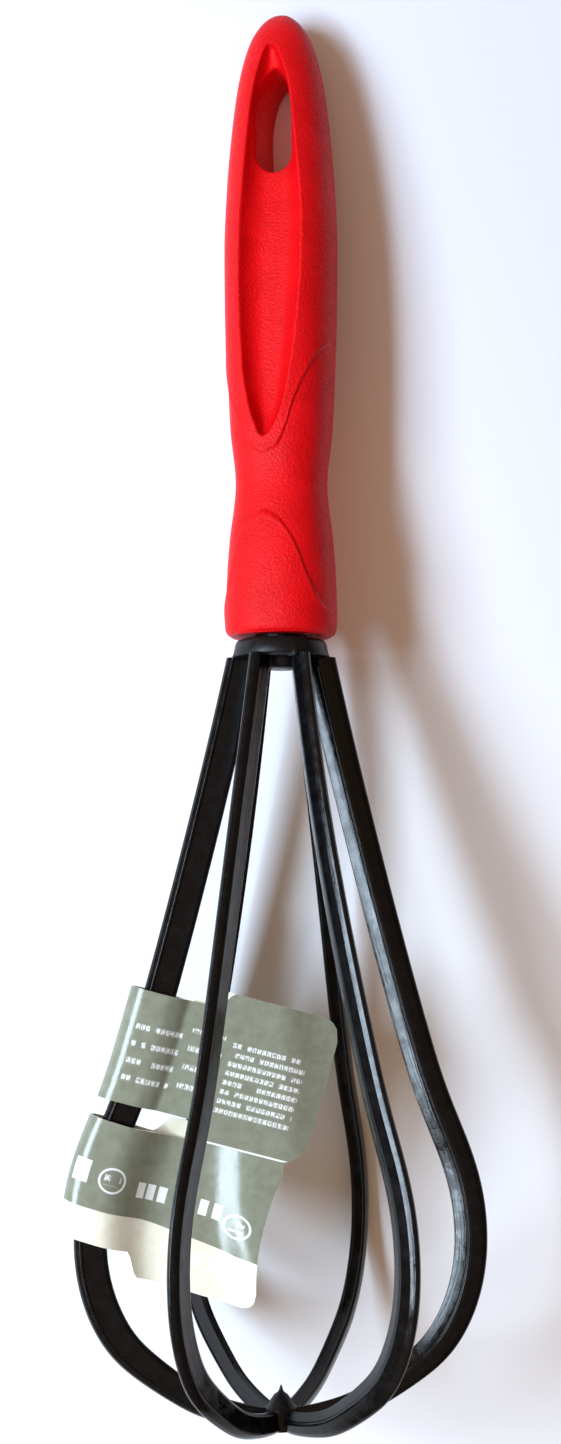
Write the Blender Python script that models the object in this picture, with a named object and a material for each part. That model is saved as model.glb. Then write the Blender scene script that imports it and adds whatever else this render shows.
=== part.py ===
"""Balloon whisk: moulded handle, six-tine nylon balloon, press-fitted collar and tang, folded card tag.

Everything is modelled about the whisk's own axis: local +Y runs from the tip towards the handle's end,
local +Z is up and stations are distances from the tip along that axis. One empty, whisk_axis, then lays
the whole whisk on the table, z = 0, where it rests on its two lowest tines and on the handle's end.
"""
import math

import bmesh
import bpy
from mathutils import Euler, Matrix, Vector

MM = 0.001

# ---- driving dimensions, millimetres and degrees -------------------------------------------------
BALLOON_TOP = 142.6          # station where the tines end under the collar
RING_FROM, RING_TO = 142.9, 146.2
MOUTH = 147.0                # station of the handle's mouth
HANDLE_LENGTH = 124.8
TOUCH_GAP = 0.3              # gap left between pieces that touch on the real object

TINE_LENGTH = 167.6          # along one tine, from the tip to the collar
TINE_TIP_LEVEL = 0.93        # station of the tines' middle line where it would meet the axis
TINE_COURSE = [              # (share of the tine's length, slope in degrees; 90 runs along the axis)
    (0.000, -8.3), (0.028, 8.0), (0.072, 17.7), (0.112, 31.2), (0.168, 38.5), (0.224, 61.0),
    (0.336, 92.8), (0.447, 112.0), (0.545, 106.0), (0.895, 103.0), (1.000, 102.0),
]
TINE_DEPTH = 6.3             # radial
TINE_TAPER, TINE_TAPER_TO = 0.34, 0.25     # depth lost at the tip, and the share of length it takes
TINE_WIDTH = 2.76            # across
TINE_START = 3.3             # distance from the axis at which a tine leaves the tip boss
COLLAR_TWIST = -4.85         # the tines sit turned by this much where they enter the collar
TINES = [                    # (name, nominal azimuth, lean of this tine); azimuth 0 is up, 90 is +X
    ("tine_top_left", -30.0, -1.6),
    ("tine_top_right", 30.0, 4.7),
    ("tine_right", 90.0, -2.3),
    ("tine_bottom_right", 150.0, 0.4),
    ("tine_bottom_left", 210.0, 0.1),
    ("tine_left", 270.0, -0.1),
]
# half section: (radial, across) as shares of depth and width; the flanks step at the parting line
SECTION = [
    (0.50, 0.10), (0.43, 0.31), (0.31, 0.49), (0.25, 0.49), (0.23, 0.40), (-0.38, 0.31), (-0.48, 0.17),
    (-0.50, -0.05), (-0.48, -0.15), (-0.16, -0.36), (-0.11, -0.37), (-0.08, -0.49), (0.02, -0.50),
    (0.33, -0.36), (0.46, -0.18), (0.50, -0.05),
]

BOSS_RADIUS = 3.0
SPIKE_TOP = 6.8              # station of the gate spike's tip, inside the balloon

TANG_RADIUS, TANG_LENGTH = 4.6, 29.0
SOCKET_RADIUS, SOCKET_DEPTH = 5.0, 31.0
RING_RADIUS = 9.1

HANDLE_WIDTHS = [            # (distance from the mouth, half width)
    (0.0, 9.6), (0.5, 10.35), (1.6, 10.75), (5.0, 10.9), (12.6, 10.65), (20.0, 10.1), (24.5, 9.5),
    (29.5, 9.08), (32.5, 9.2), (35.5, 9.55), (40.5, 10.12), (46.0, 10.42), (51.5, 10.65), (66.0, 11.0),
    (77.0, 11.1), (89.0, 10.65), (97.5, 10.0), (105.5, 9.15), (110.5, 8.4), (115.0, 7.4), (119.0, 6.1),
    (122.0, 4.4), (124.0, 2.4), (124.8, 0.8),
]
HANDLE_THICKNESS = 0.88      # share of the width
HANDLE_ROUNDNESS = 2.25      # exponent of the oval section
FACE_AZIMUTH = -17.0         # the scooped face is turned this much from straight up
SCOOP = [                    # (station, sideways place of its middle, half width)
    (184.5, -1.35, 0.0), (185.4, -1.25, 1.0), (187.5, -1.0, 2.1), (190.0, -0.87, 3.1), (196.6, -0.8, 4.5),
    (203.0, -0.6, 5.25), (210.0, -0.4, 5.8), (218.0, -0.2, 6.15), (226.0, -0.05, 6.15), (235.0, 0.0, 5.6),
    (243.0, -0.1, 4.9), (250.0, -0.15, 4.2), (256.3, -0.2, 3.2), (260.5, -0.4, 1.95), (262.8, -0.6, 1.0),
    (263.6, -0.7, 0.0),
]
SCOOP_DEPTH, SCOOP_ROOT = 4.6, 3.2     # depth below the handle's oval, and how fast it is reached
SLOT_FROM, SLOT_STRAIGHT_TO, SLOT_TO, SLOT_WIDTH = 238.0, 248.0, 259.3, 7.2
WAIST_LOW = [                # (degrees round from the face's middle, station) of the lower moulded edge
    (-100.0, 150.9), (-81.0, 151.3), (-63.0, 154.1), (-51.0, 158.2), (-35.0, 165.9), (-21.6, 168.2),
    (-6.4, 169.8), (7.7, 168.2), (20.4, 165.2), (28.0, 162.4), (37.0, 158.2), (49.0, 154.1), (66.7, 151.3),
    (87.0, 150.9),
]
WAIST_HIGH = [               # the same for the upper one
    (-95.0, 205.0), (-75.0, 201.0), (-62.6, 196.2), (-54.0, 192.9), (-37.6, 188.4), (-22.9, 184.0),
    (-8.4, 182.0), (4.4, 183.0), (14.7, 186.5), (22.8, 191.3), (36.4, 196.6), (54.9, 201.4), (78.3, 204.1),
    (95.0, 205.0),
]
WAIST_STEP = 0.3

CARD = 0.4                   # thickness of the card
TAG_LEAVES = [               # name, top and bottom at the tine, reach, step down and its place, slant, height
    ("tag_upper", 79.0, 58.6, 34.8, 3.2, 13.5, 14.5, 0.85),
    ("tag_lower", 55.0, 33.2, 33.0, 4.6, 7.2, 17.0, -0.75),
]
TAG_RISE = 3.2               # a leaf's top edge stands this much above its strap's
TAG_RISE_FRONT = {"tag_upper": 11.0, "tag_lower": 15.5}    # distance from the tine at which it starts
TAG_RISE_BACK = 6.4
TAG_SAG = {"tag_upper": 0.2, "tag_lower": 2.0}    # how far the leaf hollows below its flat
TAG_LOOP, TAG_LOOP_REACH = 2.5, 3.9    # half height and outward reach of the loop round the tine
TAG_CORNER = 3.2

RING_STEPS = 48
TINE_STEPS = 40
FRAME_SHIFT = (1.18, -0.67)   # puts the middle of the whisk's bounding box over the origin


def clear_scene():
    for obj in list(bpy.data.objects):
        bpy.data.objects.remove(obj)


def material(name, color, roughness, metallic=0.0):
    mat = bpy.data.materials.new(name)
    mat.use_nodes = True
    shader = mat.node_tree.nodes["Principled BSDF"]
    shader.inputs["Base Color"].default_value = (*color, 1.0)
    shader.inputs["Roughness"].default_value = roughness
    shader.inputs["Metallic"].default_value = metallic
    mat.diffuse_color = (*color, 1.0)
    return mat


def interpolate(table, value):
    """Monotone-looking cubic through a table of (x, y) pairs."""
    xs = [pair[0] for pair in table]
    ys = [pair[1] for pair in table]
    if value <= xs[0]:
        return ys[0]
    if value >= xs[-1]:
        return ys[-1]
    i = max(k for k in range(len(xs) - 1) if xs[k] <= value)

    def slope(k):
        if k == 0 or k == len(xs) - 1:
            return 0.0 if k == 0 else (ys[-1] - ys[-2]) / (xs[-1] - xs[-2])
        left = (ys[k] - ys[k - 1]) / (xs[k] - xs[k - 1])
        right = (ys[k + 1] - ys[k]) / (xs[k + 1] - xs[k])
        return 0.0 if left * right <= 0 else 2 * left * right / (left + right)

    span = xs[i + 1] - xs[i]
    t = (value - xs[i]) / span
    h00, h10 = 2 * t**3 - 3 * t**2 + 1, t**3 - 2 * t**2 + t
    h01, h11 = -2 * t**3 + 3 * t**2, t**3 - t**2
    return h00 * ys[i] + h10 * span * slope(i) + h01 * ys[i + 1] + h11 * span * slope(i + 1)


def smooth(value):
    value = min(max(value, 0.0), 1.0)
    return value * value * (3 - 2 * value)


def radial(azimuth):
    """Unit vector away from the axis."""
    angle = math.radians(azimuth)
    return Vector((math.sin(angle), 0.0, math.cos(angle)))


def across(azimuth):
    """Unit vector round the axis, towards a larger azimuth."""
    angle = math.radians(azimuth)
    return Vector((math.cos(angle), 0.0, -math.sin(angle)))


# ---- mesh helpers --------------------------------------------------------------------------------
def add_object(name, verts, faces, mat, parent, origin=Vector((0, 0, 0))):
    """A mesh object from millimetre points, its origin at the given point of the parent."""
    mesh = bpy.data.meshes.new(name)
    mesh.from_pydata([(Vector(v) - origin) * MM for v in verts], [], faces)
    bm = bmesh.new()
    bm.from_mesh(mesh)
    bmesh.ops.recalc_face_normals(bm, faces=bm.faces)
    bm.to_mesh(mesh)
    bm.free()
    obj = bpy.data.objects.new(name, mesh)
    bpy.context.collection.objects.link(obj)
    obj.parent = parent
    obj.location = origin * MM
    if mat:
        mesh.materials.append(mat)
    return obj


def loft(rings):
    """Points and faces of a closed body through rings of equal length."""
    count = len(rings[0])
    verts = [point for ring in rings for point in ring]
    faces = []
    for i in range(len(rings) - 1):
        for j in range(count):
            k = (j + 1) % count
            faces.append((i * count + j, i * count + k, (i + 1) * count + k, (i + 1) * count + j))
    last = (len(rings) - 1) * count
    faces.append(tuple(range(count)))
    faces.append(tuple(range(last, last + count)))
    return verts, faces


def lathe(profile, steps=RING_STEPS):
    """Turn (radius, station) pairs about the axis; a first or last radius of 0 closes on the axis."""
    verts, faces, rows = [], [], []
    for radius, station in profile:
        if radius == 0:
            rows.append([len(verts)] * steps)
            verts.append(Vector((0, station, 0)))
            continue
        rows.append(list(range(len(verts), len(verts) + steps)))
        verts += [radial(360 * k / steps) * radius + Vector((0, station, 0)) for k in range(steps)]
    for low, high in zip(rows, rows[1:]):
        for j in range(steps):
            k = (j + 1) % steps
            corners = [low[j], low[k], high[k], high[j]]
            faces.append(tuple(dict.fromkeys(corners)))
    return verts, faces


def cut(target, name, verts, faces, parent):
    """Take a closed cutter away from the target."""
    cutter = add_object(name, verts, faces, None, parent)
    cutter.hide_render = True
    cutter.display_type = "WIRE"
    boolean = target.modifiers.new(name, "BOOLEAN")
    boolean.operation = "DIFFERENCE"
    boolean.solver = "EXACT"
    boolean.object = cutter
    return cutter


# ---- tines ---------------------------------------------------------------------------------------
def tine_path():
    """(distance from axis, station, slope) along one tine, from the tip to the collar."""
    count = 400
    step = TINE_LENGTH / count
    reach, station, path = 0.0, TINE_TIP_LEVEL, []
    for i in range(count + 1):
        slope = math.radians(interpolate(TINE_COURSE, i / count))
        path.append((reach, station, slope))
        middle = math.radians(interpolate(TINE_COURSE, (i + 0.5) / count))
        reach += math.cos(middle) * step
        station += math.sin(middle) * step
    return path


def tine_azimuth(nominal, lean, station):
    share = smooth((BALLOON_TOP - station) / 97.0)
    return nominal + COLLAR_TWIST + (lean - COLLAR_TWIST) * share


def tine_centre(path, nominal, lean, station):
    """Centre of a tine where it passes a station in the narrow part above its widest point."""
    widest = max(range(len(path)), key=lambda i: path[i][0])
    i = min(range(widest - 30, len(path)), key=lambda k: abs(path[k][1] - station))
    low, high = (i, i + 1) if path[i][1] <= station or i == 0 else (i - 1, i)
    high = min(high, len(path) - 1)
    gap = path[high][1] - path[low][1]
    share = (station - path[low][1]) / gap if gap else 0.0
    reach = path[low][0] + (path[high][0] - path[low][0]) * share
    return radial(tine_azimuth(nominal, lean, station)) * reach + Vector((0, station, 0))


def build_tine(name, nominal, lean, path, mat, parent):
    begin = next(i for i, point in enumerate(path) if point[0] > TINE_START)
    end = max(i for i, point in enumerate(path) if point[1] <= BALLOON_TOP)
    rings = []
    for k in range(TINE_STEPS + 1):
        share = k / TINE_STEPS
        place = round(begin + (end - begin) * share)
        reach, station, slope = path[place]
        taper = TINE_TAPER * (1 - smooth(place / (len(path) - 1) / TINE_TAPER_TO))
        depth = TINE_DEPTH * (1 - taper)
        # the first section stands square to the boss and the last one to the collar
        tilt = slope * smooth(share / 0.05)
        if k == TINE_STEPS:
            tilt, station = math.radians(90), BALLOON_TOP
        azimuth = tine_azimuth(nominal, lean, station)
        out, side = radial(azimuth), across(azimuth)
        centre = out * reach + Vector((0, station, 0))
        outward = out * math.sin(tilt) - Vector((0, math.cos(tilt), 0))
        rings.append([centre + outward * (depth * r) + side * (TINE_WIDTH * t) for r, t in SECTION])
    verts, faces = loft(rings)
    return add_object(name, verts, faces, mat, parent)


# ---- collar, tang and tip ------------------------------------------------------------------------
def build_collar(mat, parent):
    profile = [
        (0, RING_FROM - 2.1), (3.3, RING_FROM - 2.1), (3.7, RING_FROM - 1.7), (3.7, RING_FROM),
        (RING_RADIUS, RING_FROM), (RING_RADIUS + 0.1, RING_FROM + 0.4), (RING_RADIUS - 0.2, RING_TO - 0.9),
        (RING_RADIUS - 0.45, RING_TO - 0.3), (RING_RADIUS - 1.0, RING_TO), (0, RING_TO),
    ]
    verts, faces = lathe(profile)
    return add_object("collar", verts, faces, mat, parent)


def build_tang(mat, parent):
    start = RING_TO + TOUCH_GAP
    profile = [(0, start), (TANG_RADIUS, start)]
    barb = 5.0
    count = 4
    for i in range(count):
        foot = start + 6.0 + i * barb
        profile += [(TANG_RADIUS, foot), (TANG_RADIUS - 0.6, foot + 0.6), (TANG_RADIUS, foot + 3.6)]
    profile += [(TANG_RADIUS - 0.2, start + TANG_LENGTH - 1.4), (TANG_RADIUS - 1.4, start + TANG_LENGTH)]
    profile += [(0, start + TANG_LENGTH)]
    verts, faces = lathe(profile, 32)
    return add_object("tang", verts, faces, mat, parent)


def build_tip(mat, parent):
    profile = [
        (0, -0.9), (1.2, -0.95), (BOSS_RADIUS - 0.3, -1.15), (BOSS_RADIUS, -0.9), (BOSS_RADIUS, 2.5),
        (BOSS_RADIUS - 0.3, 3.0), (2.0, 4.1), (1.3, 5.0), (0.45, 5.6), (0.25, SPIKE_TOP - 0.4),
        (0, SPIKE_TOP),
    ]
    verts, faces = lathe(profile, 36)
    return add_object("tip_boss", verts, faces, mat, parent)


# ---- handle --------------------------------------------------------------------------------------
def handle_half_width(station):
    return interpolate(HANDLE_WIDTHS, station - MOUTH)


def handle_surface(station, angle):
    """(sideways, outwards) of the oval section at an angle from the face's middle line."""
    half = handle_half_width(station)
    power = 2 / HANDLE_ROUNDNESS
    s, c = math.sin(angle), math.cos(angle)
    side = math.copysign(abs(s) ** power, s) * half
    front = math.copysign(abs(c) ** power, c) * half * HANDLE_THICKNESS
    return side, front


def waist_dent(station, angle):
    """Depth of the waist between its two moulded edges, which curve away from the face's middle."""
    turn = math.degrees(angle)
    low, high = interpolate(WAIST_LOW, turn), interpolate(WAIST_HIGH, turn)
    inside = smooth((station - low) / 1.4) * smooth((high - station) / 1.4)
    fade = smooth((118 - abs(turn)) / 45)
    return WAIST_STEP * inside * fade


def handle_stations():
    stations = [MOUTH, MOUTH + 0.25, MOUTH + 0.8, MOUTH + 1.8]
    station = MOUTH + 3.2
    while station < 207:
        stations.append(station)
        station += 1.35
    while station < MOUTH + HANDLE_LENGTH - 12:
        stations.append(station)
        station += 3.4
    end = MOUTH + HANDLE_LENGTH
    stations += [end - back for back in (12, 9.5, 7.2, 5.2, 3.6, 2.3, 1.3, 0.6, 0.15, 0.0)]
    return stations


def build_handle(mat, parent):
    face, side = radial(FACE_AZIMUTH), across(FACE_AZIMUTH)
    rings = []
    for station in handle_stations():
        ring = []
        for k in range(RING_STEPS):
            angle = -math.pi + 2 * math.pi * k / RING_STEPS
            x, z = handle_surface(station, angle)
            shrink = 1 - waist_dent(station, angle) / math.hypot(x, z)
            ring.append((side * x + face * z) * shrink + Vector((0, station, 0)))
        rings.append(ring)
    verts, faces = loft(rings)
    handle = add_object("handle_grip", verts, faces, mat, parent)
    cut_scoop(handle, face, side, parent)
    cut_slot(handle, face, side, parent)
    socket = [(0, MOUTH - 2), (SOCKET_RADIUS, MOUTH - 2), (SOCKET_RADIUS, MOUTH + SOCKET_DEPTH)]
    socket += [(0, MOUTH + SOCKET_DEPTH)]
    verts, faces = lathe(socket)
    cut(handle, "cut_socket", verts, faces, parent)
    return handle


def cut_scoop(handle, face, side, parent):
    """Deep oval thumb scoop whose rim lies on the handle's surface."""
    middles = [(station, middle) for station, middle, _ in SCOOP]
    halves = [(station, half) for station, _, half in SCOOP]
    first, last = SCOOP[0][0], SCOOP[-1][0]
    rings = []
    lengthwise, crosswise = 34, 16
    for i in range(lengthwise + 1):
        station = (first + last) / 2 - (last - first) / 2 * math.cos(math.pi * i / lengthwise) * 0.9992
        middle, half = interpolate(middles, station), interpolate(halves, station)
        wide = handle_half_width(station)
        depth = SCOOP_DEPTH * math.tanh(half / SCOOP_ROOT)
        ring = []
        for k in range(crosswise + 1):
            q = -math.cos(math.pi * k / crosswise)
            x = middle + half * q
            share = 1 - (abs(x) / wide) ** HANDLE_ROUNDNESS
            level = wide * HANDLE_THICKNESS * share ** (1 / HANDLE_ROUNDNESS)
            ring.append(side * x + face * (level - depth * (1 - abs(q) ** 3)) + Vector((0, station, 0)))
        ring.append(side * (middle + half) + face * 16 + Vector((0, station, 0)))
        ring.append(side * (middle - half) + face * 16 + Vector((0, station, 0)))
        rings.append(ring)
    verts, faces = loft(rings)
    cut(handle, "cut_scoop", verts, faces, parent)


def slot_outline():
    """(sideways, station) round the hanging slot: a half circle, straight sides and a slim upper end."""
    radius = SLOT_WIDTH / 2
    centre = SLOT_FROM + radius
    outline = []
    for k in range(13):
        angle = math.radians(180 + 15 * k)
        outline.append((radius * math.cos(angle), centre + radius * math.sin(angle)))
    reach = SLOT_TO - SLOT_STRAIGHT_TO
    shares = [math.sin(math.radians(9 * k)) for k in range(11)]
    right = [(radius * (1 - t * t) ** 0.6, SLOT_STRAIGHT_TO + reach * t) for t in shares]
    return outline + right + [(-x, y) for x, y in reversed(right[:-1])]


def cut_slot(handle, face, side, parent):
    """The slot that the whisk hangs by, right through the handle's end."""
    rings = [[side * x + face * level + Vector((0, y, 0)) for x, y in slot_outline()] for level in (-14, 14)]
    verts, faces = loft(rings)
    cut(handle, "cut_slot", verts, faces, parent)


# ---- tag -----------------------------------------------------------------------------------------
def tag_section(reach, level, sag):
    """(outwards from the tine, height) along the folded card: front leaf, loop, back leaf."""
    neck = 8.5
    points = []
    front, back = level + 0.35, level - 0.35
    leaf_steps = 13
    points += [(reach - (reach - neck) * k / leaf_steps, front) for k in range(leaf_steps)]
    for k in range(7):
        share = k / 6
        points.append((neck - (neck - 1.2) * share, front + (TAG_LOOP - front) * smooth(share)))
    for k in range(1, 10):
        angle = math.radians(90 + 18 * k)
        points.append((-1.6 + TAG_LOOP_REACH * math.cos(angle), TAG_LOOP * math.sin(angle)))
    for k in range(7):
        share = 1 - k / 6
        points.append((neck - (neck - 1.2) * share, back + (-TAG_LOOP - back) * smooth(share)))
    points += [(neck + (reach - 6 - neck) * k / leaf_steps, back) for k in range(1, leaf_steps + 1)]
    return [(out, height - sag * (smooth((out - 5) / 14) - smooth((out - 21) / 12))) for out, height in points]


def leaf_limits(outwards, reach, top, bottom, step, step_at, rise_at):
    """Top and bottom station of the leaf at a distance from the tine, with rounded outer corners."""
    low = bottom - step * smooth((outwards - step_at) / 1.2)
    high = top + TAG_RISE * smooth((outwards - rise_at) / 3.0)
    over = max(0.0, outwards - (reach - TAG_CORNER))
    inset = TAG_CORNER - math.sqrt(max(TAG_CORNER**2 - over**2, 0.0))
    return high - inset, low + inset


def build_tag_leaf(leaf, path, mat, parent, pivot):
    name, top, bottom, reach, step, step_at, slant, level = leaf
    _, nominal, lean = next(tine for tine in TINES if tine[0] == "tine_left")
    section = tag_section(reach, level, TAG_SAG[name])
    run = Vector((math.cos(math.radians(slant)), -math.sin(math.radians(slant)), 0))
    rows = 10
    sides = ([], [])
    for i, (outwards, height) in enumerate(section):
        before, after = section[max(i - 1, 0)], section[min(i + 1, len(section) - 1)]
        along = Vector((after[0] - before[0], after[1] - before[1])).normalized()
        normal = (along.y, -along.x)
        rise_at = TAG_RISE_FRONT[name] if i < len(section) // 2 else TAG_RISE_BACK
        high, low = leaf_limits(outwards, reach, top, bottom, step, step_at, rise_at)
        for grid, offset in zip(sides, (CARD / 2, -CARD / 2)):
            column = []
            for k in range(rows + 1):
                station = low + (high - low) * k / rows
                centre = tine_centre(path, nominal, lean, station)
                place = centre + run * (outwards + normal[0] * offset)
                column.append(place + Vector((0, 0, height + normal[1] * offset)))
            grid.append(column)
    rings = []
    for front, back in zip(*sides):
        rings.append(front + back[::-1])
    verts, faces = loft(rings)
    return add_object(name, verts, faces, mat, parent, pivot)


# ---- whole object --------------------------------------------------------------------------------
def lowest(objects, lean):
    turn = Matrix.Rotation(-lean, 3, "X")
    return min((turn @ (v.co + obj.location)).z for obj in objects for v in obj.data.vertices)


def lay_down(axis, handle, tines):
    """Lean the axis until the handle's end and the lowest tines touch the table together."""
    low, high = math.radians(2), math.radians(10)
    for _ in range(40):
        lean = (low + high) / 2
        if lowest([handle], lean) > lowest(tines, lean):
            low = lean
        else:
            high = lean
    bottom = lowest([handle] + tines, lean)
    axis.rotation_euler = Euler((-lean, 0, 0))
    middle = (MOUTH + HANDLE_LENGTH - 3.0) / 2 * MM
    shift_x, shift_y = (shift * MM for shift in FRAME_SHIFT)
    axis.location = (shift_x, shift_y - middle * math.cos(lean), -bottom)


def main():
    clear_scene()
    axis = bpy.data.objects.new("whisk_axis", None)
    bpy.context.collection.objects.link(axis)
    nylon = material("black_nylon", (0.018, 0.018, 0.021), 0.38)
    red = material("red_plastic", (0.62, 0.035, 0.045), 0.5)
    card = material("olive_card", (0.27, 0.27, 0.2), 0.45)
    path = tine_path()
    tines = [build_tine(name, nominal, lean, path, nylon, axis) for name, nominal, lean in TINES]
    build_collar(nylon, axis)
    build_tang(nylon, axis)
    build_tip(nylon, axis)
    handle = build_handle(red, axis)
    _, nominal, lean = TINES[-1]
    pivot = tine_centre(path, nominal, lean, 57.5)
    for leaf in TAG_LEAVES:
        build_tag_leaf(leaf, path, card, axis, pivot)
    lay_down(axis, handle, tines)
    bpy.context.view_layer.update()


main()
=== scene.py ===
"""Looks of the balloon whisk: red moulded handle, black nylon balloon, folded printed card tag.

The pieces are made in the whisk's own measures, millimetres, as the CAD has them: +Y runs from the tip
towards the handle's end, Z is up, and LAY puts them on the table of the row frame.
"""
import math

import bmesh
import bpy
from mathutils import Matrix, Vector, noise


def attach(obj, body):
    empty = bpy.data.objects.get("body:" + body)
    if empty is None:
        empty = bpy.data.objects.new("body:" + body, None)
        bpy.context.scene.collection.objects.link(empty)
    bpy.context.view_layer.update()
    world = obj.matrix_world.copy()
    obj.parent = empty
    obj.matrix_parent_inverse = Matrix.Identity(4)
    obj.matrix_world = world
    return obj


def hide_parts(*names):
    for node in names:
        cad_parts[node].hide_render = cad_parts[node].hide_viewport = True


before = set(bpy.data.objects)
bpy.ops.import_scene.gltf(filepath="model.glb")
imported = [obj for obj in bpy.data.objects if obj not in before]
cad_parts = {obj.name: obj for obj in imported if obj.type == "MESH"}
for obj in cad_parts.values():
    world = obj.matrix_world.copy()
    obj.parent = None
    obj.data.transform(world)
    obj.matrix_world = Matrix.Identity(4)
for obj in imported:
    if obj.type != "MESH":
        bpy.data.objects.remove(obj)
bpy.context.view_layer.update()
MM = 0.001

# ---- where the whisk's own axis lies in the row frame --------------------------------------------
LEAN = 0.11786               # radians
LAY = Matrix.Translation((0.00118, -0.134138, 0.037948)) @ Matrix.Rotation(-LEAN, 4, "X")

# ---- sizes of the CAD, millimetres and degrees ---------------------------------------------------
BALLOON_TOP = 142.6
RING_FROM, RING_TO, RING_RADIUS = 142.9, 146.2, 9.1
MOUTH, HANDLE_LENGTH = 147.0, 124.8
TINE_LENGTH = 167.6
TINE_TIP_LEVEL = 0.93
TINE_COURSE = [
    (0.000, -8.3), (0.028, 8.0), (0.072, 17.7), (0.112, 31.2), (0.168, 38.5), (0.224, 61.0),
    (0.336, 92.8), (0.447, 112.0), (0.545, 106.0), (0.895, 103.0), (1.000, 102.0),
]
TINE_STEPS = 400
TINE_DEPTH, TINE_WIDTH = 6.3, 2.76
TINE_TAPER, TINE_TAPER_TO = 0.34, 0.25
TINE_SLIM = 0.983            # keeps the finer blades inside the box of the coarser CAD ones
COLLAR_TWIST = -4.85         # degrees that every tine is turned at the collar
TINES = [                    # name, degrees round the axis, the same in the balloon's widest part
    ("tine_top_left", -30.0, -1.6),
    ("tine_top_right", 30.0, 4.7),
    ("tine_right", 90.0, -2.3),
    ("tine_bottom_right", 150.0, 0.4),
    ("tine_bottom_left", 210.0, 0.1),
    ("tine_left", 270.0, -0.1),
]
BLADE_FILLET = 0.16          # radius of the blades' edges
SECTION = [                  # outline of a tine in shares of its depth (outwards) and width (sideways)
    (0.50, 0.10), (0.43, 0.31), (0.31, 0.49), (0.25, 0.49), (0.23, 0.40), (-0.38, 0.31), (-0.48, 0.17),
    (-0.50, -0.05), (-0.48, -0.09), (-0.16, -0.37), (-0.11, -0.38), (-0.08, -0.49), (0.02, -0.50),
    (0.33, -0.36), (0.46, -0.18), (0.50, -0.05),
]
BOSS_RADIUS, SPIKE_TOP = 3.0, 6.8
NIBS_AT, NIB_REACH, NIB_WIDTH = (-82, 84, 15), 0.5, 3.0    # flash on the collar: degrees, mm, degrees
SOCKET_RADIUS, SOCKET_DEPTH = 5.0, 31.0
HANDLE_WIDTHS = [            # (distance from the mouth, half width)
    (0.0, 9.6), (0.5, 10.35), (1.6, 10.75), (5.0, 10.9), (12.6, 10.65), (20.0, 10.1), (24.5, 9.5),
    (29.5, 9.08), (32.5, 9.2), (35.5, 9.55), (40.5, 10.12), (46.0, 10.42), (51.5, 10.65), (66.0, 11.0),
    (77.0, 11.1), (89.0, 10.65), (97.5, 10.0), (105.5, 9.15), (110.5, 8.4), (115.0, 7.4), (119.0, 6.1),
    (122.0, 4.4), (124.0, 2.4), (124.8, 0.8),
]
HANDLE_THICKNESS = 0.88      # share of the width
HANDLE_ROUNDNESS = 2.25      # exponent of the oval section
FACE_AZIMUTH = -17.0         # the scooped face is turned this much from straight up
SCOOP = [                    # (station, sideways place of its middle, half width)
    (184.5, -1.35, 0.0), (185.4, -1.25, 1.0), (187.5, -1.0, 2.1), (190.0, -0.87, 3.1), (196.6, -0.8, 4.5),
    (203.0, -0.6, 5.25), (210.0, -0.4, 5.8), (218.0, -0.2, 6.15), (226.0, -0.05, 6.15), (235.0, 0.0, 5.6),
    (243.0, -0.1, 4.9), (250.0, -0.15, 4.2), (256.3, -0.2, 3.2), (260.5, -0.4, 1.95), (262.8, -0.6, 1.0),
    (263.6, -0.7, 0.0),
]
SCOOP_DEPTH, SCOOP_ROOT = 4.6, 3.2     # depth below the handle's oval, and how fast it is reached
SLOT_FROM, SLOT_STRAIGHT_TO, SLOT_TO, SLOT_WIDTH = 238.0, 248.0, 259.3, 7.2
WAIST_LOW = [                # (degrees round from the face's middle, station) of the lower moulded edge
    (-100.0, 150.9), (-81.0, 151.3), (-63.0, 154.1), (-51.0, 158.2), (-35.0, 165.9), (-21.6, 168.2),
    (-6.4, 169.8), (7.7, 168.2), (20.4, 165.2), (28.0, 162.4), (37.0, 158.2), (49.0, 154.1), (66.7, 151.3),
    (87.0, 150.9),
]
WAIST_HIGH = [               # the same for the upper one
    (-95.0, 205.0), (-75.0, 201.0), (-62.6, 196.2), (-54.0, 192.9), (-37.6, 188.4), (-22.9, 184.0),
    (-8.4, 182.0), (4.4, 183.0), (14.7, 186.5), (22.8, 191.3), (36.4, 196.6), (54.9, 201.4), (78.3, 204.1),
    (95.0, 205.0),
]
WAIST_STEP, WAIST_LIP = 0.3, 0.07      # how deep the waist lies, and the raised line along its edges
SEAM_HEIGHT = 0.07
SCOOP_EDGE = 0.7             # how softly the scoop's rim is rounded
SLIVER = 0.01                # edges shorter than this are merged after the slot is cut
SKIN_INSET = 0.01            # keeps the finer skin inside the box of the coarser CAD handle
CARD = 0.4
TAG_LEAVES = [               # name, top and bottom at the tine, reach, step down and its place, slant, height
    ("tag_upper", 79.0, 58.6, 34.8, 3.2, 13.5, 14.5, 0.85),
    ("tag_lower", 55.0, 33.2, 32.4, 4.6, 7.2, 17.0, -0.75),
]
TAG_RISE = 3.2               # a leaf's top edge stands this much above its strap's
TAG_RISE_FRONT = {"tag_upper": 11.0, "tag_lower": 15.5}    # distance from the tine at which it starts
TAG_RISE_BACK = 6.4
TAG_SAG = {"tag_upper": 0.2, "tag_lower": 2.6}       # how far the leaf hollows below its flat
TAG_RISE_AT = 20.5           # distance from the tine at which the hollow comes up again
TAG_NECK = {"tag_upper": 6.0, "tag_lower": 11.0}     # where the leaf leaves the loop
TAG_CREASE = {"tag_upper": 0.6, "tag_lower": 0.0}    # depth of the valley there
TAG_TWIST = 0.4              # how much later the lower leaf turns up at its bottom edge than at its middle
TAG_LOOP, TAG_LOOP_REACH = 2.5, 3.88   # half height and outward reach of the loop round the tine
TAG_CORNER = 3.8
BACK_U, CUT_EDGE_U = 200.0, 500.0      # mark the card's plain side and its cut edge in its UV map


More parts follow.
